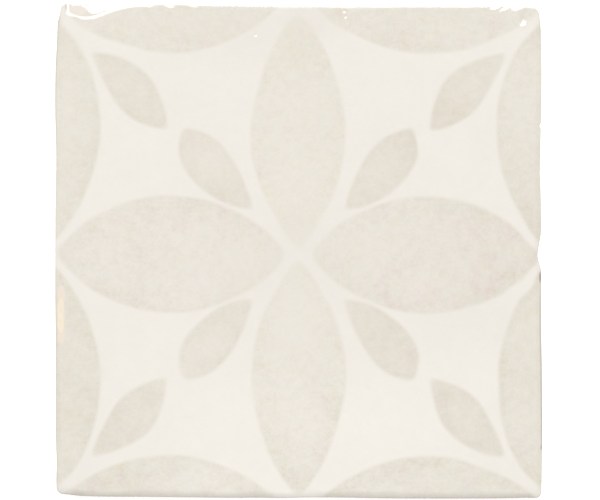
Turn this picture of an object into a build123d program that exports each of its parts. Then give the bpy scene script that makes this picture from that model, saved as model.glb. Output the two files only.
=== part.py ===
# Glazed ceramic wall tile with hand-cut edges, lying on its back with the decorated face up.
# It is one fired piece: a drafted slab with a rolled glaze rim, a knocked right edge and a keyed back.
# Millimetres. The origin is the centre of the bedding face, +Z comes out of the glazed face and
# +Y points to the top edge of the tile as it is hung.
import math
import os

from build123d import *

# Slab
TILE_WIDTH = 129.3  # bottom edge, corner to corner
TILE_HEIGHT = 130.9  # right edge, corner to corner
TILE_THICKNESS = 10.0
EDGE_DRAFT_DEG = 2.0  # the cut edges lean in towards the back

# Hand-cut outline: how far it departs from a true rectangle
TOP_NARROWING = 0.6  # the top edge is this much shorter than the bottom edge
OUT_OF_SQUARE = 0.8  # the left corners sit this much higher than the right ones
LEFT_BOW = 0.4  # the bows are positive where an edge swells outwards at its middle
TOP_BOW = -0.3
RIGHT_BOW_ABOVE_KNOCK = 0.1
RIGHT_BOW_BELOW_KNOCK = 0.15
BOTTOM_BOW = 0.4
TOP_LEFT_CUT_ACROSS = 1.1  # the top left corner is cut back on a slant, from here along the top edge
TOP_LEFT_CUT_DOWN = 4.8  # to here down the left edge
TOP_LEFT_CUT_UPPER_RADIUS = 1.6
TOP_LEFT_CUT_LOWER_RADIUS = 6.0
TOP_RIGHT_RADIUS = 3.0
BOTTOM_LEFT_RADIUS = 2.2
BOTTOM_RIGHT_RADIUS = 1.7

# Knock in the right edge, a shallow lopsided notch that runs through the thickness
KNOCK_DEPTH = 1.15
KNOCK_HEIGHT = -1.1  # its deepest point, above the middle of the right edge
KNOCK_RISE = 6.4  # its length above the deepest point
KNOCK_FALL = 3.2  # its length below the deepest point
KNOCK_FLOOR_RADIUS = 6.0
KNOCK_LIP_RADIUS = 4.0

# Rims
GLAZE_ROLL_RADIUS = 1.0  # the glaze rounds the rim of the face over
BACK_EDGE_RADIUS = 0.5  # the bare clay rim of the back

# Keyed back: parallel grooves that the adhesive grips
GROOVE_WIDTH = 7.0
GROOVE_DEPTH = 0.8
GROOVE_LAND = 7.0  # flat rib left between two grooves
GROOVE_MARGIN = 8.0  # plain border, at least this wide, around the grooves
GROOVE_WALL_DRAFT_DEG = 20.0


def bowed_edge(start, end, bow):
    """A tile edge from one corner to the next, anticlockwise, swelling outwards by bow at its middle."""
    along = end - start
    outward = Vector(along.Y, -along.X).normalized()
    return ThreePointArc(start, (start + end) / 2 + outward * bow, end)


def hand_cut_outline():
    """The face outline, rounded at its corners and around the knock, centred on the origin."""
    half_width = TILE_WIDTH / 2
    half_height = TILE_HEIGHT / 2
    top_half_width = (TILE_WIDTH - TOP_NARROWING) / 2
    lift = OUT_OF_SQUARE / 2
    bottom_left = Vector(-half_width, lift - half_height)
    bottom_right = Vector(half_width, -lift - half_height)
    top_right = Vector(top_half_width, half_height - lift)
    top_left = Vector(-top_half_width, half_height + lift)

    up_the_right = (top_right - bottom_right).normalized()
    into_the_tile = Vector(-up_the_right.Y, up_the_right.X)
    knock_root = (bottom_right + top_right) / 2 + up_the_right * KNOCK_HEIGHT
    knock_floor = knock_root + into_the_tile * KNOCK_DEPTH
    knock_bottom = knock_root - up_the_right * KNOCK_FALL
    knock_top = knock_root + up_the_right * KNOCK_RISE

    cut_top = top_left + (top_right - top_left).normalized() * TOP_LEFT_CUT_ACROSS
    cut_bottom = top_left + (bottom_left - top_left).normalized() * TOP_LEFT_CUT_DOWN

    outline = make_face(
        Curve()
        + [
            bowed_edge(bottom_left, bottom_right, BOTTOM_BOW),
            bowed_edge(bottom_right, knock_bottom, RIGHT_BOW_BELOW_KNOCK),
            Line(knock_bottom, knock_floor),
            Line(knock_floor, knock_top),
            bowed_edge(knock_top, top_right, RIGHT_BOW_ABOVE_KNOCK),
            bowed_edge(top_right, cut_top, TOP_BOW),
            Line(cut_top, cut_bottom),
            bowed_edge(cut_bottom, bottom_left, LEFT_BOW),
        ]
    )
    rounded_points = [
        (bottom_left, BOTTOM_LEFT_RADIUS),
        (bottom_right, BOTTOM_RIGHT_RADIUS),
        (top_right, TOP_RIGHT_RADIUS),
        (cut_top, TOP_LEFT_CUT_UPPER_RADIUS),
        (cut_bottom, TOP_LEFT_CUT_LOWER_RADIUS),
        (knock_bottom, KNOCK_LIP_RADIUS),
        (knock_floor, KNOCK_FLOOR_RADIUS),
        (knock_top, KNOCK_LIP_RADIUS),
    ]
    for point, radius in rounded_points:
        outline = fillet(outline.vertices().sort_by_distance(point)[0], radius)
    middle = outline.bounding_box().center()
    return Pos(-middle.X, -middle.Y) * outline


def slab():
    """The pressed slab: the outline drafted down to the back, with both rims rounded."""
    face = Pos(0, 0, TILE_THICKNESS) * hand_cut_outline()
    body = extrude(face, TILE_THICKNESS, dir=(0, 0, -1), taper=EDGE_DRAFT_DEG)
    body = fillet(body.faces().sort_by(Axis.Z)[-1].edges(), GLAZE_ROLL_RADIUS)
    return fillet(body.faces().sort_by(Axis.Z)[0].edges(), BACK_EDGE_RADIUS)


def keying_grooves():
    """The grooves of the back, as many as fit inside the plain border, with a land through the middle."""
    pitch = GROOVE_WIDTH + GROOVE_LAND
    groove_length = TILE_WIDTH - 2 * GROOVE_MARGIN
    reach = TILE_HEIGHT / 2 - GROOVE_MARGIN
    pairs = math.floor((reach - GROOVE_LAND / 2 + GROOVE_LAND) / pitch)
    groove = extrude(SlotOverall(groove_length, GROOVE_WIDTH), GROOVE_DEPTH, taper=GROOVE_WALL_DRAFT_DEG)
    return [place * groove for place in GridLocations(0, pitch, 1, 2 * pairs)]


tile = slab() - keying_grooves()
tile.label = "wall_tile"

os.makedirs("parts", exist_ok=True)
export_step(tile, "parts/wall_tile.step")
print("bounding box", tile.bounding_box().size, "volume", round(tile.volume), "valid", tile.is_valid)
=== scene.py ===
import math

import bmesh
import bpy
import numpy as np
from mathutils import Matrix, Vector, noise
from mathutils.geometry import delaunay_2d_cdt


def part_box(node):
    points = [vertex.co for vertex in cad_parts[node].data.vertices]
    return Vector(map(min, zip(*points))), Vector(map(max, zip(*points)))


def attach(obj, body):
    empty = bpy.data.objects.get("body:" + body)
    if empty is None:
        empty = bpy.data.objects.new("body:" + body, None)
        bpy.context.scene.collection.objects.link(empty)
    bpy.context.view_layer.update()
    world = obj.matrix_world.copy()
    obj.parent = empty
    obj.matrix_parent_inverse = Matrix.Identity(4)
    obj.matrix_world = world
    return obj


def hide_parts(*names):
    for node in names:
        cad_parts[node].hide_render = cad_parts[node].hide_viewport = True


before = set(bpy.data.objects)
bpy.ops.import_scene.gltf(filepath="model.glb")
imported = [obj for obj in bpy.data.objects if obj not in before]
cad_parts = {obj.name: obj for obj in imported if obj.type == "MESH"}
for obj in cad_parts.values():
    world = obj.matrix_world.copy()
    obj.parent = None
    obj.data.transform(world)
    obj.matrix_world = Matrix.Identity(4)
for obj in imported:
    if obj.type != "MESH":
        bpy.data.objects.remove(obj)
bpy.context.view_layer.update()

# Outline. The slab was cut by hand from rolled clay, so every edge bows and the right one has a knock.
# It is read from the solid just under the rolled rim, where the tile is widest. The knife and later
# handling left long swells and dents of about a quarter of a millimetre, and two small nicks.
MM = 0.001  # the tile is laid out in millimetres and built in metres
OUTLINE_STEP = 0.1
HEADING_STEPS = 5  # the edge's direction is taken over this many steps to each side
ROLL_DEPTH = 1.0  # the rim of the face rolls down this far
EDGE_WAVES = (
    # x and y of its middle, half length, swell outwards or dent inwards
    (-63.9, 62.9, 2.6, -0.20),
    (-64.2, 57.0, 6.0, -0.14),
    (-64.8, 8.0, 40.0, -0.08),
    (-64.8, 51.0, 5.0, 0.10),
    (-64.8, 41.7, 11.0, 0.28),
    (-64.8, 24.0, 9.0, -0.16),
    (-64.8, -26.1, 11.0, -0.17),
    (-64.8, -40.8, 10.0, -0.10),
    (-64.8, -56.0, 5.0, -0.25),
    (-62.5, -65.3, 3.0, -0.40),
    (-51.5, -65.3, 7.0, 0.10),
    (-11.5, -65.6, 4.0, -0.08),
    (1.5, -65.8, 4.0, -0.08),
    (8.4, -65.8, 11.0, -0.24),
    (30.0, -65.8, 40.0, -0.08),
    (61.0, -65.8, 5.0, -0.16),
    (64.8, -46.0, 10.0, 0.09),
    (64.8, -19.0, 9.0, -0.17),
    (64.8, 23.5, 9.0, -0.34),
    (64.8, 48.4, 7.0, 0.12),
    (64.3, 62.2, 2.2, -0.30),
    (55.0, 65.1, 7.0, 0.10),
    (5.7, 65.2, 16.0, -0.05),
    (-17.0, 65.4, 14.0, 0.06),
    (-35.5, 65.5, 7.0, 0.24),
)
EDGE_NICKS = ((64.6, 33.5, 0.45, -0.45), (64.6, 20.7, 0.45, -0.30))  # the same


def hump(distance, half_length, power=2):
    """1 in the middle, falling to 0 past its half length. A higher power gives it a flatter top."""
    return np.exp(-((distance / half_length) ** power))


back_z, face_z = (corner.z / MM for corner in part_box("wall_tile"))
solid = bmesh.new()
solid.from_mesh(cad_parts["wall_tile"].data)
section = bmesh.ops.bisect_plane(
    solid,
    geom=solid.verts[:] + solid.edges[:] + solid.faces[:],
    plane_co=(0, 0, (face_z - ROLL_DEPTH) * MM),
    plane_no=(0, 0, 1),
)["geom_cut"]
cut_line = np.array([item.co[:2] for item in section if isinstance(item, bmesh.types.BMVert)]) / MM
solid.free()
cut_line = np.unique(cut_line.round(3), axis=0)
cut_line = cut_line[np.argsort(np.arctan2(cut_line[:, 1], cut_line[:, 0]))]
cut_line = np.vstack([cut_line, cut_line[:1]])
travelled = np.concatenate([[0], np.cumsum(np.hypot(*np.diff(cut_line, axis=0).T))])
stations = np.arange(0, travelled[-1], OUTLINE_STEP)
outline = np.column_stack([np.interp(stations, travelled, cut_line[:, axis]) for axis in (0, 1)])

forward = np.roll(outline, -HEADING_STEPS, axis=0) - np.roll(outline, HEADING_STEPS, axis=0)
outward = np.column_stack([forward[:, 1], -forward[:, 0]]) / np.hypot(*forward.T)[:, None]
for x, y, half_length, swell in EDGE_WAVES + EDGE_NICKS:
    apart = np.hypot(outline[:, 0] - x, outline[:, 1] - y)
    outline += outward * (swell * hump(apart, half_length))[:, None]
outline_heading = np.arctan2(outline[:, 1], outline[:, 0])

# Glazed face. The glaze melts into a smooth, faintly wavy skin that rolls over the rim, tightly along
# the top and widely along the bottom, where it ran. The top left corner slumped in two steps with a
# shelf between them, the top rim has glazed-over chips, and a fingertip left a scoop at the top right.
RIM_BAND = 5.5  # rows of the mesh crowd towards the rim in this strip
RIM_ROWS = 42
RIM_CROWDING = 1.6
FIELD_PITCH = 0.66
ROLLS = {
    # width of the slope towards the rim, its steepness at the rim, radius of the rim
    "right": (1.8, 0.30, 0.3),
    "left": (1.6, 0.30, 0.3),
    "top": (1.4, 0.117, 0.2),
    "bottom": (2.1, 0.80, 0.3),
}
DRY_MIDDLE, DRY_LENGTH, DRY_SHARE = 1.5, 5.0, 0.3  # stretch of the bottom rim with a gentler roll
ROLL_UNEVENNESS = 0.25  # share of its width by which the roll varies
ROLL_WAVE = 7.0  # length of that variation
SIDE_BLEND = 20  # the higher, the nearer to the corners one side's roll turns into the next one's
THINNEST_ROLL = 0.1  # width that a roll keeps at least
RIM_CHIPS = (
    # x of its middle on the top edge, half length, reach in from the rim
    (-59.0, 1.1, 0.45),
    (-39.9, 0.7, 0.85),
    (-34.2, 0.9, 1.15),
    (-28.0, 0.7, 0.7),
    (52.2, 0.85, 1.0),
    (54.9, 0.65, 1.5),
    (58.3, 1.15, 1.2),
)
CHIP_SLOPE = 0.37
CHIP_SPREAD = 1.4  # width of a chip's slope as a multiple of its reach
CHIP_SHARPNESS = 0.8  # share of the rim's radius that a chip takes away
TOP_EDGE_END = math.radians(137)  # heading of the top left corner, past its slanted cut
SLUMP_MIDDLE = -56.2
SLUMP_REACH = 4.55  # how far from the top edge the slump starts, at its middle
SLUMP_FADE = 0.45  # far from the middle it would end this far outside the rim
SLUMP_LEFT, SLUMP_RIGHT = 8.5, 7.2  # lengths over which it fades
SLUMP_END = -62.0  # it stops short of the left edge, in a low wall
SLUMP_SLOPE = 0.2
SLUMP_CREASE = 0.06  # softness of its bends
FIRST_STEP = 0.65  # width of the upper slope
GENTLE_MIDDLE, GENTLE_LENGTH, GENTLE_SHARE = -59.0, 1.5, 0.5  # stretch with a gentler upper slope
LEDGE_WIDTH, LEDGE_END, LEDGE_FADE = 0.54, -50.3, 1.0  # the narrow shelf between the slopes
SHELF_START, SHELF_END = -60.8, -54.6  # the stretch where the shelf takes all the rest
SHELF_FADE = 4.8  # length over which it ends on the right
WALL_WIDTH = 0.35  # of the walls that end the slump and the shelf on the left
SCOOP_X, SCOOP_Y = 59.5, 60.7
SCOOP_HALF_WIDTH, SCOOP_HALF_HEIGHT = 0.82, 0.85
SCOOP_DEPTH, SCOOP_LEAN, SCOOP_CREASE = 0.26, 0.2, 0.12
SCOOP_FADE = 2.5  # length over which it runs out upwards
SWELLS = ((24.0, 0.06), (9.0, 0.015))  # length and height of the waves of the glaze


def ripple(x, y, length, seed):
    """Smooth noise from -1 to 1 with waves of the given length in mm, at each point."""
    places = zip(np.ravel(x) / length, np.ravel(y) / length)
    return np.array([noise.noise(Vector((u, v, seed))) for u, v in places]).reshape(np.shape(x))


def past_bend(distance, softness):
    """The distance past a bend, 0 before it, with a soft start."""
    return softness * np.logaddexp(0, distance / softness)


tile_half_width, tile_half_height = np.ptp(outline, axis=0) / 2
half_side = (tile_half_width + tile_half_height) / 2
crowded = RIM_BAND * (np.arange(RIM_ROWS) / RIM_ROWS) ** RIM_CROWDING
field = np.linspace(RIM_BAND, half_side, round((half_side - RIM_BAND) / FIELD_PITCH) + 1)
lines = 1 - np.concatenate([crowded, field]) / half_side
lines = np.concatenate([-lines[:-1], lines[::-1]])
across, up = np.meshgrid(lines, lines)
ring = np.maximum(np.abs(across), np.abs(up))
heading = np.arctan2(up * tile_half_height, across * tile_half_width)
edge_x, edge_y = (
    np.interp(heading, outline_heading, outline[:, axis], period=2 * np.pi) for axis in (0, 1)
)
face_x, face_y = ring * edge_x, ring * edge_y
from_rim = (1 - ring) * half_side

toward = {"right": across, "left": -across, "top": up, "bottom": -up}
never_zero = np.maximum(ring, 1e-6)
nearness = {side: np.clip(way / never_zero, 0, 1) ** SIDE_BLEND for side, way in toward.items()}
all_sides = np.maximum(sum(nearness.values()), 1e-6)
roll_width, roll_slope, rim_radius = (
    sum(nearness[side] * sizes[size] for side, sizes in ROLLS.items()) / all_sides for size in range(3)
)
roll_width *= 1 + ROLL_UNEVENNESS * ripple(edge_x, edge_y, ROLL_WAVE, seed=1.5)
roll_slope *= 1 - DRY_SHARE * nearness["bottom"] * hump(edge_x - DRY_MIDDLE, DRY_LENGTH, power=4)
for x, half_length, reach in RIM_CHIPS:
    chipped = nearness["top"] * hump(edge_x - x, half_length, power=4)
    roll_width += chipped * (CHIP_SPREAD * reach - roll_width)
    roll_slope += chipped * (CHIP_SLOPE - roll_slope)
    rim_radius *= 1 - CHIP_SHARPNESS * chipped
roll = 1 - np.clip(from_rim / np.maximum(roll_width, THINNEST_ROLL), 0, 1)
rim_round = 1 - np.clip(from_rim / np.maximum(rim_radius, THINNEST_ROLL), 0, 1)
face_height = face_z - roll_slope * roll_width / 2 * roll**2 - rim_radius * (1 - np.sqrt(1 - rim_round**2))

top_edge = outline[(outline_heading > np.pi / 2) & (outline_heading < TOP_EDGE_END)][::-1]
from_top = np.interp(face_x, top_edge[:, 0], top_edge[:, 1]) - face_y
slump_length = np.where(face_x > SLUMP_MIDDLE, SLUMP_RIGHT, SLUMP_LEFT)
slump_reach = SLUMP_REACH / (1 + ((face_x - SLUMP_MIDDLE) / slump_length) ** 2) - SLUMP_FADE
slump = past_bend(slump_reach - from_top, SLUMP_CREASE)
shelf = LEDGE_WIDTH * np.clip((LEDGE_END - face_x) / LEDGE_FADE, 0, 1)
shelf += SLUMP_REACH * np.clip((SHELF_END - face_x) / SHELF_FADE, 0, 1)
shelf *= np.clip((face_x - SHELF_START) / WALL_WIDTH, 0, 1)
first_slope = 1 - GENTLE_SHARE * hump(face_x - GENTLE_MIDDLE, GENTLE_LENGTH, power=4)
fallen = first_slope * np.minimum(slump, FIRST_STEP)
fallen += past_bend(slump - FIRST_STEP - shelf, SLUMP_CREASE / 2)
face_height -= SLUMP_SLOPE * fallen * np.clip((face_x - SLUMP_END) / WALL_WIDTH, 0, 1)
above = face_y - SCOOP_Y
beside = face_x - SCOOP_X - SCOOP_LEAN * above
past_foot = past_bend(above + SCOOP_HALF_HEIGHT, SCOOP_CREASE)
past_head = past_bend(above - SCOOP_HALF_HEIGHT, SCOOP_CREASE)
pressed = SCOOP_DEPTH * (past_foot - past_head) / (2 * SCOOP_HALF_HEIGHT)
face_height -= pressed * hump(beside, SCOOP_HALF_WIDTH) * hump(past_head, SCOOP_FADE)
waves = sum(height * ripple(face_x, face_y, length, seed=4.5) for length, height in SWELLS)
face_height += (waves - waves.max()) * (1 - roll)

# Edges. The sides lean in towards the back. The glaze ran part of the way down them in low bulges and
# stops in an uneven line with a bead. Below it the bare clay shows, with the drag marks of the knife.
# Along the rim a dark clay colour is painted in places: partly glaze worn off by handling, partly painted
# shade where the rolled rim turns down away from the light.
EDGE_DRAFT = math.tan(math.radians(2.0))
GLAZE_STOP = 4.2  # mean height of the line where the glaze ends, above the back
GLAZE_DRIPS = ((17.0, 1.4), (5.0, 0.5))  # length and height of its unevenness
GLAZE_THICKNESS = 0.12
SIDE_SWELL, SIDE_SWELL_LENGTH = 0.06, 8.0  # low bulges where the glaze ran
BEAD_HEIGHT = 0.08
BEAD_PLACE, BEAD_SPREAD = 0.93, 0.06  # shares of the glazed height of the side
GLAZED_ROWS = (0.2, 0.45, 0.68, 0.83, 0.9, 0.95, 0.985, 1.0)  # places of the mesh rows, as shares of it
BARE_ROWS = (0.02, 0.25, 0.5, 0.75, 1.0)  # the same for the bare clay below
DRAG_MARKS = ((2.5, 0.03), (7.0, 0.03))  # length and depth
BACK_EDGE_RADIUS = 0.5
BACK_EDGE_ROWS = 4
# painted shade as well as wear: these places along the rim get the dark clay colour, which in part stands
# for the shade where the rolled rim turns down
EDGE_WEAR_AND_SHADE = (
    # x, y, half length along the edge, reach in from the rim, strength
    (64.6, -6.9, 1.4, 0.60, 1.00),
    (64.6, -30.0, 22.0, 0.50, 0.52),
    (64.6, -46.0, 6.5, 0.38, 0.62),
    (64.6, -52.3, 0.7, 0.45, 0.90),
    (64.2, 61.0, 3.5, 0.35, 0.20),
    (64.6, 0.0, 66.0, 1.40, 0.06),
    (60.4, -65.4, 2.2, 1.10, 0.20),
    (40.0, -65.8, 24.0, 0.30, 0.22),
    (-58.8, -65.2, 2.2, 1.30, 0.20),
    (-64.6, -43.0, 10.0, 1.20, 0.11),
    (-64.6, -37.0, 28.0, 0.50, 0.12),
    (-64.6, 45.0, 17.0, 0.45, 0.18),
    (-63.7, 61.2, 1.6, 0.50, 0.22),
)
WEAR_AND_SHADE_DEPTH = 0.6  # the painted line of wear and shade goes this far down the side
WEAR_AND_SHADE_SOFTNESS = 0.5  # share of its reach over which it fades

count = len(lines)
index = np.arange(count * count).reshape(count, count)
rim = np.concatenate([index[0, :-1], index[:-1, -1], index[-1, :0:-1], index[:0:-1, 0]])
rim_x, rim_y, rim_z = face_x.ravel()[rim], face_y.ravel()[rim], face_height.ravel()[rim]
rim_out = np.column_stack(
    [np.interp(heading.ravel()[rim], outline_heading, outward[:, axis], period=2 * np.pi) for axis in (0, 1)]
)
drips = sum(height * ripple(rim_x, rim_y, length, seed=8.5) for length, height in GLAZE_DRIPS)
glaze_stop = GLAZE_STOP + drips
drag = sum(height * ripple(rim_x, rim_y, length, seed=2.5) for length, height in DRAG_MARKS)
side_bulge = SIDE_SWELL * ripple(rim_x, rim_y, SIDE_SWELL_LENGTH, seed=6.5)


def side_row(height, outset):
    """A closed row of points around the side, at a height and moved outwards from the drafted edge."""
    reach = outset - (face_z - ROLL_DEPTH - height) * EDGE_DRAFT
    return np.column_stack([rim_x + rim_out[:, 0] * reach, rim_y + rim_out[:, 1] * reach, height])


side_rows = []
for share in GLAZED_ROWS:
    bead = BEAD_HEIGHT * hump(share - BEAD_PLACE, BEAD_SPREAD)
    outset = bead + side_bulge * math.sin(math.pi * share)
    side_rows.append(side_row(rim_z + share * (glaze_stop - rim_z), outset))
for share in BARE_ROWS:
    side_rows.append(side_row(glaze_stop + share * (BACK_EDGE_RADIUS - glaze_stop), drag - GLAZE_THICKNESS))
for step in range(1, BACK_EDGE_ROWS + 1):
    turn = math.radians(90 * step / BACK_EDGE_ROWS)
    inset = drag - GLAZE_THICKNESS - BACK_EDGE_RADIUS * (1 - math.cos(turn))
    side_rows.append(side_row(np.full(len(rim), back_z + BACK_EDGE_RADIUS * (1 - math.sin(turn))), inset))

# how strongly the rim's dark colour, partly wear and partly painted shade, is mixed in at each point
face_wear_and_shade = np.zeros_like(from_rim)
for x, y, half_length, reach, strength in EDGE_WEAR_AND_SHADE:
    along = hump(np.hypot(edge_x - x, edge_y - y), half_length, power=4)
    inward = np.clip((1 + WEAR_AND_SHADE_SOFTNESS / 2 - from_rim / reach) / WEAR_AND_SHADE_SOFTNESS, 0, 1)
    face_wear_and_shade = np.maximum(face_wear_and_shade, strength * along * inward)
rim_wear_and_shade = face_wear_and_shade.ravel()[rim]
side_wear_and_shade = [rim_wear_and_shade * np.clip(1 - (rim_z - row[:, 2]) / WEAR_AND_SHADE_DEPTH, 0, 1) for row in side_rows]
wear_and_shade = np.concatenate([face_wear_and_shade.ravel(), *side_wear_and_shade])
above_line = np.concatenate([np.full(face_x.size, face_z)] + [row[:, 2] - glaze_stop for row in side_rows])

points = np.vstack([np.column_stack([face_x.ravel(), face_y.ravel(), face_height.ravel()]), *side_rows])
quads = [np.stack([index[:-1, :-1], index[:-1, 1:], index[1:, 1:], index[1:, :-1]], axis=-1).reshape(-1, 4)]
upper = rim
for number in range(len(side_rows)):
    lower = count * count + number * len(rim) + np.arange(len(rim))
    quads.append(np.stack([upper, lower, np.roll(lower, -1), np.roll(upper, -1)], axis=-1))
    upper = lower
back_loop = upper
glazed_faces = sum(len(part) for part in quads[: 1 + len(GLAZED_ROWS)])

# Back. It is bare clay that lay on the press plate: flat lands with shallow keying grooves between
# them for the adhesive, each with round ends and leaning walls, inside a plain border.
GROOVE_COUNT = 8
GROOVE_PITCH = 14.0
GROOVE_WIDTH = 7.0
GROOVE_LENGTH = 113.3
GROOVE_DEPTH = 0.8
GROOVE_WALL_DRAFT = math.tan(math.radians(20.0))
GROOVE_END_STEPS = 12
CREASE_ANGLE = math.radians(40)  # sharper bends stay creased
FLAT_DOWN = -0.9999  # faces whose normal is below this lie flat and are shaded flat

shell = bpy.data.meshes.new("glazed_tile")
shell.from_pydata((points * MM).tolist(), [], np.vstack(quads).tolist())
body = bmesh.new()
body.from_mesh(shell)
body.verts.ensure_lookup_table()
body.faces.ensure_lookup_table()
for face in body.faces[glazed_faces:]:
    face.material_index = 1


def groove_row(middle_y, height, inset):
    """A closed row of points around a groove, at a height and moved inwards from its mouth."""
    row = []
    for end in (1, -1):
        for step in range(GROOVE_END_STEPS + 1):
            turn = math.pi * (step / GROOVE_END_STEPS - 0.5)
            radius = GROOVE_WIDTH / 2 - inset
            x = end * ((GROOVE_LENGTH - GROOVE_WIDTH) / 2 + radius * math.cos(turn))
            y = middle_y + end * radius * math.sin(turn)
            row.append(body.verts.new(Vector((x, y, height)) * MM))
    return row


flat_loops = [[body.verts[corner] for corner in back_loop]]
for groove in range(GROOVE_COUNT):
    middle_y = (groove - (GROOVE_COUNT - 1) / 2) * GROOVE_PITCH
    mouth = groove_row(middle_y, back_z, 0)
    bed = groove_row(middle_y, back_z + GROOVE_DEPTH, GROOVE_DEPTH * GROOVE_WALL_DRAFT)
    for a, b, c, d in zip(mouth, mouth[1:] + mouth[:1], bed[1:] + bed[:1], bed):
        body.faces.new((a, b, c, d)).material_index = 1
    body.faces.new(bed).material_index = 1
    flat_loops.append(mouth)
loop_corners = [corner for loop in flat_loops for corner in loop]
loop_ends = np.cumsum([len(loop) for loop in flat_loops])
loop_spans = [list(range(end - len(loop), end)) for loop, end in zip(flat_loops, loop_ends)]
flat_places = [corner.co.xy / MM for corner in loop_corners]
_, _, triangles, sources, _, owners = delaunay_2d_cdt(flat_places, [], loop_spans, 1, 1e-6)
for triangle, owner in zip(triangles, owners):
    if owner == [0]:  # inside the edge of the back and outside every groove
        body.faces.new([loop_corners[sources[corner][0]] for corner in triangle]).material_index = 1
bmesh.ops.recalc_face_normals(body, faces=body.faces[:])
for face in body.faces:
    face.smooth = face.normal.z > FLAT_DOWN
body.to_mesh(shell)
body.free()
shell.set_sharp_from_angle(angle=CREASE_ANGLE)


def store(name, kind, field_name, values, on_back):
    """Keeps a value for each point of the face and the sides, and one for the back, for the materials."""
    stored = np.full((len(shell.vertices), *values.shape[1:]), on_back)
    stored[: len(values)] = values
    shell.attributes.new(name, kind, "POINT").data.foreach_set(field_name, stored.ravel())


# the strength of the rim's dark colour, partly wear and partly painted shade
store("worn_and_shaded", "FLOAT", "value", wear_and_shade, on_back=0.0)
store("above_glaze_line", "FLOAT", "value", above_line, on_back=-GLAZE_STOP)
tile = bpy.data.objects.new("glazed_tile", shell)
bpy.context.scene.collection.objects.link(tile)

# Glaze. A glossy off-white tin glaze, poured on and fired, with petals and leaves brushed on in a thin
# beige wash. The eye gets a wet-looking skin, soft-edged motifs that are darker along their
# outlines, cloudy tone inside them, and warm clay showing through where the glaze is thin on the rim.
# Down the left rim a cream streak is a painted reflection, and the dark colour along parts of the rim
# is partly painted shade.
PATTERN_CENTRE = (0.0, -0.8)
MOTIFS = (
    # colour, unevenness of its wash, rounding of its corners, corners anticlockwise in mm and bulge of
    # the side after each corner, in one quarter of the pattern, which is mirrored in both axes
    ("#e9e3d7", 1.0, 4.4, ((0.0, 1.1), (0.0, 64.6)), (12.5, 12.5)),  # upright petal
    ("#e7e0d5", 1.0, 4.5, ((3.0, 0.0), (65.0, 0.0)), (15.5, 15.5)),  # level petal
    ("#e5dfd2", 0.8, 2.0, ((64.9, 63.8), (64.9, 3.5)), (12.3,)),  # half petal on the side edge
    ("#e7e1d5", 1.0, 2.0, ((5.6, 65.4), (63.6, 65.4)), (11.8,)),  # half petal on the top edge
    # inner and outer leaf
    ("#e5ded2", 0.6, 2.5, ((12.1, 11.9), (32.0, 25.9), (30.6, 33.5), (20.9, 30.2)), (3.4, 0.4, 0.6, 1.1)),
    ("#e5ded2", 0.6, 2.5, ((35.0, 32.8), (48.3, 39.3), (55.8, 53.6), (39.9, 48.0)), (1.2, 0.1, 1.2, 1.2)),
)
QUARTER_DRIFTS = (
    # x, y and size of a place in the quarter where the brush strayed, and its move to the right and up
    (10.5, 46.5, 7.0, -0.4, -0.1),
    (6.5, 10.0, 4.5, -0.3, 0.2),
    (20.5, 12.5, 5.0, 0.0, -0.15),
    (30.0, 53.5, 9.0, 0.0, -0.25),
    (64.5, 60.5, 3.5, 0.2, -1.1),
)
TILE_DRIFTS = (
    # the same for single places on the tile
    (45.0, 0.0, 28.0, 0.0, -0.25),
    (-45.0, 0.0, 28.0, 0.0, 0.15),
    (-61.0, -4.0, 6.0, 0.3, 0.3),
    (62.0, 0.0, 6.0, -0.2, -0.3),
    (61.5, 2.5, 4.0, 0.0, -1.0),
    (58.0, -7.2, 4.2, 0.0, 0.6),
    (54.0, -10.0, 6.0, 0.0, -0.5),
    (61.5, -9.5, 3.0, 0.0, -2.0),
    (0.0, 62.5, 3.0, 0.0, -0.5),
    (9.5, 62.0, 5.5, -0.3, -0.7),
    (-62.5, 63.5, 3.0, 0.0, 2.0),
    (36.0, 33.0, 5.0, 0.0, 0.1),
    (-36.0, 33.0, 5.0, 0.2, 0.5),
    (30.5, 31.0, 4.0, -0.25, 0.0),
    (37.5, -36.0, 4.0, 0.2, -0.2),
    (44.0, -45.0, 6.0, 0.25, 0.25),
    (24.0, -23.0, 8.0, 0.15, 0.15),
    (-36.0, -34.0, 5.0, 0.0, 0.1),
    (-47.0, -44.0, 8.0, -0.2, 0.2),
    (-22.0, -24.0, 7.0, 0.15, -0.1),
    (31.0, -27.0, 4.0, 0.25, 0.0),
    (61.5, 58.5, 5.0, 0.4, -0.5),
    (46.0, 51.0, 6.0, 0.2, -0.3),
    (-46.0, -52.0, 6.0, -0.2, 0.3),
    (48.0, -57.0, 8.0, -0.15, -0.45),
    (29.0, -56.0, 11.0, 0.0, -0.3),
    (-45.0, -57.0, 8.0, 0.0, -0.25),
    (-46.0, 55.5, 8.0, 0.1, 0.6),
    (55.0, -22.0, 9.0, 0.35, 0.0),
    (54.5, -36.0, 6.0, 0.7, 0.0),
    (-55.0, 19.0, 9.0, -0.35, 0.0),
    (-12.0, 26.0, 5.0, -0.35, 0.0),
    (12.0, -27.0, 6.0, 0.25, 0.0),
)
GROUND_COLOUR = "#f1ece3"
GROUND_TONE_SPOTS = (
    # x, y, half width and half height of the places where the ground is whiter, or duller if negative; the
    # first makes the ground lighter towards the bottom
    (4.0, -46.0, 74.0, 50.0, 0.040),
    (-46.0, 0.0, 22.0, 50.0, 0.010),
    (0.0, -10.0, 34.0, 32.0, -0.034),
    (-14.0, 58.0, 32.0, 14.0, -0.026),
    (3.0, 61.5, 13.0, 7.0, -0.036),
    (22.0, -30.0, 28.0, 14.0, -0.018),
    (-20.0, -30.0, 24.0, 13.0, -0.014),
    (42.0, -18.0, 28.0, 12.0, -0.024),
    (-62.0, 61.0, 9.0, 9.0, -0.008),
)
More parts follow.
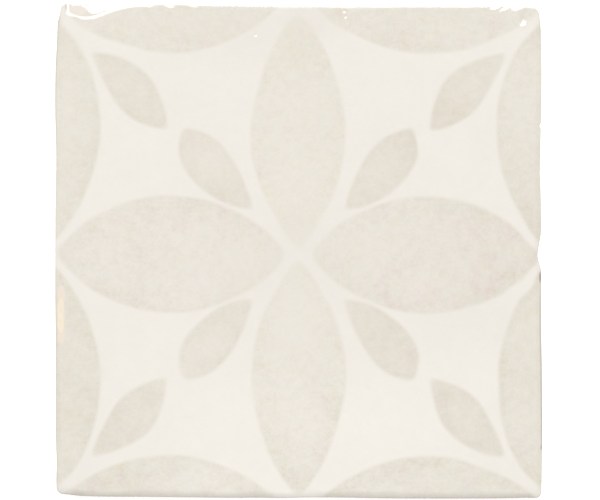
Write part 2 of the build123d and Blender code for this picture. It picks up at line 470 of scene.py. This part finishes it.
HEAVY_STROKES = (
    # the same for the places where the wash is heavier, or thinner if negative
    (0.0, -1.0, 28.0, 28.0, -0.22),
    (-51.0, -64.0, 14.0, 6.0, 0.50),
    (-40.0, -57.0, 8.0, 5.0, -0.26),
    (-22.0, -60.0, 18.0, 9.0, -0.42),
    (45.0, -62.0, 20.0, 8.0, 0.15),
    (58.0, 2.0, 16.0, 24.0, 0.24),
    (45.0, 0.0, 15.0, 20.0, 0.28),
    (40.0, 12.0, 12.0, 5.0, 0.26),
    (24.0, -2.0, 18.0, 14.0, -0.20),
    (-34.0, -1.0, 36.0, 17.0, -0.34),
    (-36.0, -2.0, 18.0, 8.0, 0.34),
    (-33.0, -13.0, 13.0, 5.0, -0.28),
    (-1.0, 53.0, 9.0, 12.0, 0.55),
    (0.0, 26.0, 9.0, 18.0, -0.10),
    (-1.0, 8.0, 7.0, 7.0, 0.36),
    (7.0, 33.0, 8.0, 9.0, 0.22),
    (0.0, -16.0, 10.0, 16.0, -0.28),
    (0.0, -44.0, 10.0, 20.0, -0.24),
    (26.0, -24.0, 14.0, 14.0, 0.12),
    (-24.0, 24.0, 10.0, 10.0, -0.20),
    (34.0, 34.0, 24.0, 22.0, 0.34),
    (38.0, 60.0, 20.0, 9.0, 0.20),
    (12.5, 63.0, 7.0, 5.0, 0.30),
    (43.0, 63.5, 9.0, 4.5, 0.36),
    (-57.0, 60.3, 5.0, 3.2, -0.40),
    (-33.0, -35.0, 26.0, 22.0, -0.26),
    (-40.0, -39.0, 6.0, 6.0, 0.35),
    (-23.0, -25.0, 6.0, 6.0, -0.26),
    (44.0, -45.0, 7.0, 6.0, -0.15),
    (50.0, -51.0, 7.0, 6.0, 0.15),
    (39.5, -38.5, 5.0, 4.0, 0.30),
    (-58.0, 36.0, 12.0, 22.0, -0.20),
    (-62.0, 13.0, 5.0, 8.0, -0.32),
    (-61.0, -34.0, 9.0, 9.0, 0.25),
    (59.0, 42.0, 12.0, 20.0, -0.28),
    (59.0, -50.0, 9.0, 18.0, -0.20),
)
OUTLINE_SOFTNESS = 0.7
BRUSH_WOBBLE = 0.6
BRUSH_WOBBLE_LENGTH = 9.0
WASH_DEPTH = 7.0  # the wash thins from its outline inwards over this distance
WASH_THINNED = 0.8
CLOUD_SIZE, CLOUDS_IN_WASH, CLOUDS_IN_GROUND = 18.0, 1.6, 0.06
GRAIN_SIZE, GRAIN_IN_WASH, GRAIN_IN_GROUND = 2.4, 2.1, 0.06
TINT_SIZE, TINT_STRENGTHS = 4.5, (0.10, 0.10, 0.15)  # of red, green and blue
RIM_COLOUR = "#e4d3c6"  # clay through thin glaze
THIN_START, THIN_END = 0.99, 0.5  # the glaze thins as its face turns away from straight up (1.0)
THIN_STRENGTH = 0.6
RUN_START, RUN_END = 0.2, 2.2  # above the line where it ends, the glaze that ran down is thicker
RUN_CLEARNESS = 0.35  # share of the clay's colour that still shows through it
UNEVEN_SIZE = 5.0  # of the places where the glaze is thinner or thicker on the rim and sides
WORN_AND_SHADED_COLOUR = "#a99d95"  # bare clay where the glaze is worn off the rim, and painted shade along the rim's roll
STAIN_AND_REFLECTION_PATCHES = (
    # colour, x, y, half width, half height and strength of places where the glaze is thin or stained; the
    # first five paint a reflection
    # painted reflection: these five make a cream streak down the left rim, a warm light mirrored in the
    # glaze painted into its colour
    ("#f6e6d6", -63.0, -11.8, 1.2, 3.6, 0.72),
    ("#f6e6d6", -63.0, -17.0, 1.2, 5.0, 0.50),
    ("#f6e6d6", -63.0, -22.0, 1.2, 3.6, 0.66),
    ("#fff1d6", -63.2, -15.2, 1.1, 3.2, 0.52),
    ("#fff1d6", -63.2, -19.0, 1.1, 3.2, 0.52),
    ("#d8cab9", -62.6, -8.7, 0.5, 0.4, 0.35),
    ("#f3eae1", -58.8, 64.0, 3.0, 1.9, 0.80),
)
GLAZE_IOR = 1.55
GLAZE_ROUGHNESS = 0.12
PEEL_SIZE = 2.5
PEEL_HEIGHT = 0.012
PITS = (
    # x, y, radius, depth
    (12.2, 63.9, 0.70, 0.070),
    (12.5, 62.4, 0.65, 0.055),
    (-11.3, 57.6, 0.55, 0.085),
)


def linear(colour):
    """Linear RGBA of an sRGB hex colour."""
    channels = [int(colour[start : start + 2], 16) / 255 for start in (1, 3, 5)]
    return [c / 12.92 if c <= 0.04045 else ((c + 0.055) / 1.055) ** 2.4 for c in channels] + [1.0]


def add_node(tree, kind, inputs=None, **settings):
    """Adds a node with its settings. inputs maps a socket to a value or to the output that feeds it."""
    node = tree.nodes.new(kind)
    for name, value in settings.items():
        setattr(node, name, value)
    for socket, source in (inputs or {}).items():
        if isinstance(source, bpy.types.NodeSocket):
            tree.links.new(source, node.inputs[socket])
        else:
            node.inputs[socket].default_value = source
    return node


def bowed_side(start, end, bulge):
    """Centre and radius of the disc whose rim runs from start to end and bulges to the right of that way."""
    start, end = Vector(start), Vector(end)
    along = end - start
    right = Vector((along.y, -along.x)).normalized()
    radius = (along.length_squared / 4 + bulge**2) / (2 * bulge)
    return (start + end) / 2 + right * (bulge - radius), radius


pattern_place = points * (1, 1, 0)
for x, y, size, rightwards, upwards in TILE_DRIFTS:
    near = hump(np.hypot(points[:, 0] - x, points[:, 1] - y), size)
    pattern_place -= near[:, None] * (rightwards, upwards, 0)
pattern_place -= (*PATTERN_CENTRE, 0)
mirroring = np.sign(pattern_place)
quarter_place = np.abs(pattern_place)
for x, y, size, rightwards, upwards in QUARTER_DRIFTS:
    near = hump(np.hypot(quarter_place[:, 0] - x, quarter_place[:, 1] - y), size)
    pattern_place -= mirroring * near[:, None] * (rightwards, upwards, 0)
store("painted_place", "FLOAT_VECTOR", "vector", pattern_place, on_back=0.0)

glaze = bpy.data.materials.new("tin_glaze")
glaze.use_nodes = True
tree = glaze.node_tree
tree.nodes.clear()
place = add_node(tree, "ShaderNodeTexCoord").outputs["Object"]
flat_mm = add_node(
    tree, "ShaderNodeVectorMath", {0: place, 1: (1 / MM, 1 / MM, 0)}, operation="MULTIPLY"
).outputs[0]
wobble = add_node(
    tree, "ShaderNodeTexNoise", {"Vector": flat_mm, "Scale": 1 / BRUSH_WOBBLE_LENGTH, "Detail": 1.0}
).outputs["Color"]
wobble = add_node(
    tree, "ShaderNodeVectorMath", {0: wobble, 1: (0.5, 0.5, 0.5)}, operation="SUBTRACT"
).outputs[0]
strayed = add_node(tree, "ShaderNodeAttribute", attribute_name="painted_place").outputs["Vector"]
painted = add_node(
    tree,
    "ShaderNodeVectorMath",
    {0: wobble, 1: (BRUSH_WOBBLE, BRUSH_WOBBLE, 0), 2: strayed},
    operation="MULTIPLY_ADD",
).outputs[0]
folded = add_node(tree, "ShaderNodeVectorMath", {0: painted}, operation="ABSOLUTE").outputs[0]

clouds, grain = (
    add_node(
        tree,
        "ShaderNodeTexNoise",
        {"Vector": flat_mm, "Scale": 1 / size, "Detail": 2.0, "Roughness": 0.95},
    ).outputs["Fac"]
    for size in (CLOUD_SIZE, GRAIN_SIZE)
)


def varied(tree, base, *patterns):
    """A value that varies around its base with patterns of noise, each with its strength."""
    for pattern, strength in patterns:
        about_zero = add_node(tree, "ShaderNodeMath", {0: pattern, 1: 0.5}, operation="SUBTRACT").outputs[0]
        base = add_node(
            tree, "ShaderNodeMath", {0: about_zero, 1: strength, 2: base}, operation="MULTIPLY_ADD"
        ).outputs[0]
    return base


mottle = varied(tree, 0.0, (clouds, CLOUDS_IN_WASH), (grain, GRAIN_IN_WASH))
tint = add_node(
    tree,
    "ShaderNodeTexNoise",
    {"Vector": flat_mm, "Scale": 1 / TINT_SIZE, "Detail": 3.0, "Roughness": 0.9},
).outputs["Color"]
tint = add_node(
    tree,
    "ShaderNodeVectorMath",
    {0: tint, 1: TINT_STRENGTHS, 2: [1 - strength / 2 for strength in TINT_STRENGTHS]},
    operation="MULTIPLY_ADD",
).outputs[0]


def soft_spot(x, y, half_width, half_height, core):
    """1 in the core of an oval, a share of its half sizes, falling to 0 at its rim."""
    from_middle = add_node(
        tree, "ShaderNodeVectorMath", {0: flat_mm, 1: (x, y, 0)}, operation="SUBTRACT"
    ).outputs[0]
    stretched = add_node(
        tree,
        "ShaderNodeVectorMath",
        {0: from_middle, 1: (1 / half_width, 1 / half_height, 0)},
        operation="MULTIPLY",
    ).outputs[0]
    share = add_node(tree, "ShaderNodeVectorMath", {0: stretched}, operation="LENGTH").outputs["Value"]
    return add_node(
        tree,
        "ShaderNodeMapRange",
        {"Value": share, "From Min": 1.0, "From Max": core},
        interpolation_type="SMOOTHSTEP",
    ).outputs[0]


load = 1.0
for x, y, half_width, half_height, strength in HEAVY_STROKES:
    stroke = soft_spot(x, y, half_width, half_height, core=0.0)
    load = add_node(
        tree, "ShaderNodeMath", {0: stroke, 1: strength, 2: load}, operation="MULTIPLY_ADD"
    ).outputs[0]
tone = varied(tree, 1.0, (clouds, CLOUDS_IN_GROUND), (grain, GRAIN_IN_GROUND))
for x, y, half_width, half_height, strength in GROUND_TONE_SPOTS:
    ground_spot = soft_spot(x, y, half_width, half_height, core=0.2)
    tone = add_node(
        tree, "ShaderNodeMath", {0: ground_spot, 1: strength, 2: tone}, operation="MULTIPLY_ADD"
    ).outputs[0]
colour = add_node(
    tree, "ShaderNodeVectorMath", {0: linear(GROUND_COLOUR)[:3], "Scale": tone}, operation="SCALE"
).outputs[0]
for motif_colour, unevenness, rounding, corners, bulges in MOTIFS:
    inside = None
    for start, end, bulge in zip(corners, corners[1:] + corners[:1], bulges):
        centre, radius = bowed_side(start, end, bulge)
        away = add_node(
            tree, "ShaderNodeVectorMath", {0: folded, 1: (*centre, 0)}, operation="DISTANCE"
        ).outputs["Value"]
        away = add_node(tree, "ShaderNodeMath", {0: away, 1: radius}, operation="SUBTRACT").outputs[0]
        if inside is not None:
            away = add_node(
                tree, "ShaderNodeMath", {0: inside, 1: away, 2: rounding}, operation="SMOOTH_MAX"
            ).outputs[0]
        inside = away
    cover = add_node(
        tree,
        "ShaderNodeMapRange",
        {"Value": inside, "From Min": OUTLINE_SOFTNESS, "From Max": -OUTLINE_SOFTNESS},
        interpolation_type="SMOOTHSTEP",
    ).outputs[0]
    wash = add_node(
        tree,
        "ShaderNodeMapRange",
        {"Value": inside, "From Min": 0.0, "From Max": -WASH_DEPTH, "To Min": 1.0, "To Max": WASH_THINNED},
    ).outputs[0]
    patchy = add_node(
        tree, "ShaderNodeMath", {0: mottle, 1: unevenness, 2: load}, operation="MULTIPLY_ADD"
    ).outputs[0]
    wash = add_node(tree, "ShaderNodeMath", {0: wash, 1: patchy}, operation="MULTIPLY").outputs[0]
    cover = add_node(tree, "ShaderNodeMath", {0: cover, 1: wash}, operation="MULTIPLY").outputs[0]
    tinted = [unevenness * channel for channel in linear(motif_colour)[:3]]
    plain = [(1 - unevenness) * channel for channel in linear(motif_colour)[:3]]
    pigment = add_node(
        tree, "ShaderNodeVectorMath", {0: tint, 1: tinted, 2: plain}, operation="MULTIPLY_ADD"
    ).outputs[0]
    colour = add_node(
        tree, "ShaderNodeMix", {0: cover, 6: colour, 7: pigment}, data_type="RGBA", clamp_factor=False
    ).outputs[2]

normal = add_node(tree, "ShaderNodeNewGeometry").outputs["Normal"]
facing_up = add_node(tree, "ShaderNodeSeparateXYZ", {0: normal}).outputs["Z"]
thin = add_node(
    tree,
    "ShaderNodeMapRange",
    {"Value": facing_up, "From Min": THIN_START, "From Max": THIN_END, "To Max": THIN_STRENGTH},
).outputs[0]
above_stop = add_node(tree, "ShaderNodeAttribute", attribute_name="above_glaze_line").outputs["Fac"]
run = add_node(
    tree,
    "ShaderNodeMapRange",
    {"Value": above_stop, "From Min": RUN_START, "From Max": RUN_END, "To Min": RUN_CLEARNESS},
    interpolation_type="SMOOTHSTEP",
).outputs[0]
uneven = add_node(
    tree, "ShaderNodeTexNoise", {"Vector": place, "Scale": 1 / (UNEVEN_SIZE * MM)}
).outputs["Fac"]
uneven = add_node(tree, "ShaderNodeMath", {0: uneven, 1: run}, operation="MULTIPLY").outputs[0]
# the noise is a half on average, so it is doubled
uneven = add_node(tree, "ShaderNodeMath", {0: uneven, 1: 2.0}, operation="MULTIPLY").outputs[0]
thin = add_node(tree, "ShaderNodeMath", {0: thin, 1: uneven}, operation="MULTIPLY").outputs[0]
colour = add_node(
    tree, "ShaderNodeMix", {0: thin, 6: colour, 7: linear(RIM_COLOUR)}, data_type="RGBA"
).outputs[2]

# mixes in thin or stained glaze, and the painted reflection down the left rim
for stain_and_reflection_colour, x, y, half_width, half_height, strength in STAIN_AND_REFLECTION_PATCHES:
    stain_and_reflection = soft_spot(x, y, half_width, half_height, core=0.6)
    stain_and_reflection = add_node(tree, "ShaderNodeMath", {0: stain_and_reflection, 1: strength}, operation="MULTIPLY").outputs[0]
    colour = add_node(
        tree, "ShaderNodeMix", {0: stain_and_reflection, 6: colour, 7: linear(stain_and_reflection_colour)}, data_type="RGBA"
    ).outputs[2]
# the rim's dark colour: bare clay where worn, and painted shade where the rim rolls down
worn_and_shaded = add_node(tree, "ShaderNodeAttribute", attribute_name="worn_and_shaded").outputs["Fac"]
colour = add_node(
    tree, "ShaderNodeMix", {0: worn_and_shaded, 6: colour, 7: linear(WORN_AND_SHADED_COLOUR)}, data_type="RGBA"
).outputs[2]

relief = add_node(
    tree, "ShaderNodeTexNoise", {"Vector": place, "Scale": 1 / (PEEL_SIZE * MM), "Detail": 1.0}
).outputs["Fac"]
relief = add_node(tree, "ShaderNodeMath", {0: relief, 1: PEEL_HEIGHT}, operation="MULTIPLY").outputs[0]
for x, y, radius, depth in PITS:
    pit = soft_spot(x, y, radius, radius, core=0.0)
    relief = add_node(
        tree, "ShaderNodeMath", {0: pit, 1: -depth, 2: relief}, operation="MULTIPLY_ADD"
    ).outputs[0]
bump = add_node(tree, "ShaderNodeBump", {"Height": relief, "Distance": MM}).outputs[0]
skin = add_node(
    tree,
    "ShaderNodeBsdfPrincipled",
    {"Base Color": colour, "Roughness": GLAZE_ROUGHNESS, "IOR": GLAZE_IOR, "Normal": bump},
)
add_node(tree, "ShaderNodeOutputMaterial", {"Surface": skin.outputs[0]})
shell.materials.append(glaze)

# Biscuit. The pale buff clay under the glaze, fired once and left bare on the lower sides and the back.
# It is dry and matt, with specks of grog, streaks along the sides, wide patches that took more or less
# heat, and a warmer line just under the glaze.
CLAY_COLOUR = "#dcc8b4"
CLAY_DARK = "#c6ac94"
FLASHED_COLOUR = "#c39c7c"  # the clay took a warmer colour from the glaze just under its edge
FLASH_DEPTH, FLASH_STRENGTH = 1.1, 0.6
GROG_SIZE = 0.7
GROG_DARK, GROG_PALE = 0.66, 0.36  # levels of the mixed noise that give each clay colour in full
STREAK_LENGTH, STREAK_HEIGHT = 6.0, 0.45  # the knife drew the clay out along the sides
STREAK_STRENGTH = 0.5
FIRE_SIZE, FIRE_STRENGTH = 26.0, 0.7  # wide patches that took more or less heat
PORE_HEIGHT = 0.06
CLAY_ROUGHNESS = 0.85

biscuit = bpy.data.materials.new("buff_biscuit")
biscuit.use_nodes = True
tree = biscuit.node_tree
tree.nodes.clear()
place = add_node(tree, "ShaderNodeTexCoord").outputs["Object"]
grog = add_node(
    tree, "ShaderNodeTexNoise", {"Vector": place, "Scale": 1 / (GROG_SIZE * MM), "Detail": 4.0}
).outputs["Fac"]
streaks = add_node(
    tree,
    "ShaderNodeVectorMath",
    {0: place, 1: [1 / (size * MM) for size in (STREAK_LENGTH, STREAK_LENGTH, STREAK_HEIGHT)]},
    operation="MULTIPLY",
).outputs[0]
streaks = add_node(
    tree, "ShaderNodeTexNoise", {"Vector": streaks, "Scale": 1.0, "Detail": 3.0}
).outputs["Fac"]
fire = add_node(
    tree, "ShaderNodeTexNoise", {"Vector": place, "Scale": 1 / (FIRE_SIZE * MM), "Detail": 3.0}
).outputs["Fac"]
toned = varied(tree, grog, (streaks, STREAK_STRENGTH), (fire, FIRE_STRENGTH))
specks = add_node(
    tree, "ShaderNodeMapRange", {"Value": toned, "From Min": GROG_DARK, "From Max": GROG_PALE}
).outputs[0]
colour = add_node(
    tree, "ShaderNodeMix", {0: specks, 6: linear(CLAY_DARK), 7: linear(CLAY_COLOUR)}, data_type="RGBA"
).outputs[2]
above_stop = add_node(tree, "ShaderNodeAttribute", attribute_name="above_glaze_line").outputs["Fac"]
flash = add_node(
    tree,
    "ShaderNodeMapRange",
    {"Value": above_stop, "From Min": -FLASH_DEPTH, "From Max": 0.0, "To Max": FLASH_STRENGTH},
    interpolation_type="SMOOTHSTEP",
).outputs[0]
colour = add_node(
    tree, "ShaderNodeMix", {0: flash, 6: colour, 7: linear(FLASHED_COLOUR)}, data_type="RGBA"
).outputs[2]
rough = add_node(tree, "ShaderNodeMath", {0: grog, 1: streaks}, operation="ADD").outputs[0]
bump = add_node(tree, "ShaderNodeBump", {"Height": rough, "Distance": PORE_HEIGHT * MM}).outputs[0]
clay = add_node(
    tree, "ShaderNodeBsdfPrincipled", {"Base Color": colour, "Roughness": CLAY_ROUGHNESS, "Normal": bump}
)
add_node(tree, "ShaderNodeOutputMaterial", {"Surface": clay.outputs[0]})
shell.materials.append(biscuit)

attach(tile, "root")
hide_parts("wall_tile")

# Floor. A plain white table top under the tile. It keeps the tile's shadow, and a top-up that only
# the camera and mirror-like surfaces see brings its open parts to white.
FLOOR_SIZE = 4.0
FLOOR_COLOUR = "#f2f2f2"
FLOOR_TOP_UP = 0.66


def in_sight(tree):
    """1 where the camera looks, straight, mirrored or through glass, and 0 for light on its way."""
    rays = add_node(tree, "ShaderNodeLightPath").outputs
    seen = add_node(
        tree, "ShaderNodeMath", {0: rays["Is Camera Ray"], 1: rays["Is Glossy Ray"]}, operation="ADD"
    ).outputs[0]
    return add_node(
        tree,
        "ShaderNodeMath",
        {0: seen, 1: rays["Is Transmission Ray"]},
        operation="ADD",
        use_clamp=True,
    ).outputs[0]


bpy.ops.mesh.primitive_plane_add(size=FLOOR_SIZE, location=(0, 0, back_z * MM))
floor = bpy.context.object
floor.name = "floor"
paint = bpy.data.materials.new("white_table_paint")
paint.use_nodes = True
tree = paint.node_tree
tree.nodes.clear()
top_up = add_node(
    tree, "ShaderNodeMath", {0: in_sight(tree), 1: FLOOR_TOP_UP}, operation="MULTIPLY"
).outputs[0]
matt = add_node(tree, "ShaderNodeBsdfDiffuse", {"Color": linear(FLOOR_COLOUR)}).outputs[0]
glow = add_node(tree, "ShaderNodeEmission", {"Strength": top_up}).outputs[0]
both = add_node(tree, "ShaderNodeAddShader", {0: matt, 1: glow}).outputs[0]
add_node(tree, "ShaderNodeOutputMaterial", {"Surface": both})
floor.data.materials.append(paint)

# Light. Even white sky all round, and one soft box beyond the top edge of the tile, high up, whose
# mirror image makes the glare on the slumped corner and leaves the bottom edge in shade.
SKY_LIGHT = 0.545
BOX_DISTANCE = 6.0
BOX_ELEVATION = math.radians(62)
BOX_SIZE = 3.1
BOX_POWER = 250.0

world = bpy.data.worlds.new("studio")
bpy.context.scene.world = world
world.use_nodes = True
tree = world.node_tree
tree.nodes.clear()
sky_strength = add_node(
    tree, "ShaderNodeMapRange", {"Value": in_sight(tree), "To Min": SKY_LIGHT, "To Max": 1.0}
).outputs[0]
sky = add_node(tree, "ShaderNodeBackground", {"Strength": sky_strength}).outputs[0]
add_node(tree, "ShaderNodeOutputWorld", {"Surface": sky})

box_light = bpy.data.lights.new("soft_box", "AREA")
box_light.size = BOX_SIZE
box_light.energy = BOX_POWER
box = bpy.data.objects.new("soft_box", box_light)
box.location = (0, BOX_DISTANCE * math.cos(BOX_ELEVATION), BOX_DISTANCE * math.sin(BOX_ELEVATION))
box.rotation_euler = Vector(box.location).to_track_quat("Z", "Y").to_euler()
box.visible_camera = False
bpy.context.scene.collection.objects.link(box)

# Camera. It looks straight down on the face through a long lens, with the tile's top edge at the
# top of the picture. Its place sets the tile where the 600 by 500 pixel frame has it.
LENS = 180.0
SENSOR_WIDTH = 36.0
FRAME_WIDTH, FRAME_HEIGHT = 600, 500
PIXELS_PER_MM = 3.764
TILE_CENTRE_PIXEL = (298.5, 251.4)

camera_data = bpy.data.cameras.new("camera")
camera_data.lens = LENS
camera_data.sensor_width = SENSOR_WIDTH
camera = bpy.data.objects.new("camera", camera_data)
camera.location = Vector(
    (
        (FRAME_WIDTH / 2 - TILE_CENTRE_PIXEL[0]) / PIXELS_PER_MM,
        (TILE_CENTRE_PIXEL[1] - FRAME_HEIGHT / 2) / PIXELS_PER_MM,
        face_z + FRAME_WIDTH * LENS / (SENSOR_WIDTH * PIXELS_PER_MM),
    )
) * MM
bpy.context.scene.collection.objects.link(camera)
bpy.context.scene.camera = camera
bpy.context.scene.view_settings.view_transform = "Standard"

bpy.context.view_layer.update()
